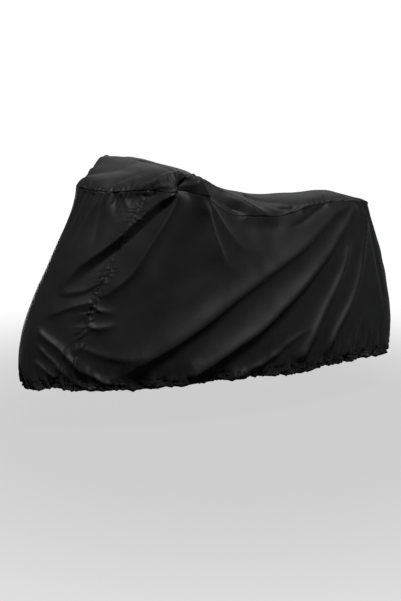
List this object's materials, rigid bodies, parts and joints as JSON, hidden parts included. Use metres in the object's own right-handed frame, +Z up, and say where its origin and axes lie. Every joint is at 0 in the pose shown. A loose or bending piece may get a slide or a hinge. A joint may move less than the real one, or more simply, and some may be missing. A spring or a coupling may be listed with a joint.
{
  "type": "fitted motorcycle cover",
  "caption": "Hollow draped fabric cover shaped to a parked motorcycle, with a sewn cap, gathered front seams and an elasticated hem.",
  "frame": {"origin": "middle of the cover's box in plan, at the level of the lowest point of the hem", "axes": "+X towards the nose, +Y towards the left side, +Z up"},
  "size_m": [2.0066, 0.7647, 1.0549],
  "materials": {
    "cloth": "black coated polyester with a soft sheen"
  },
  "bodies": {
    "root": {"top_panel": "cloth", "front_panel": "cloth", "left_side_panel": "cloth", "right_side_panel": "cloth"}
  },
  "joints": []
}
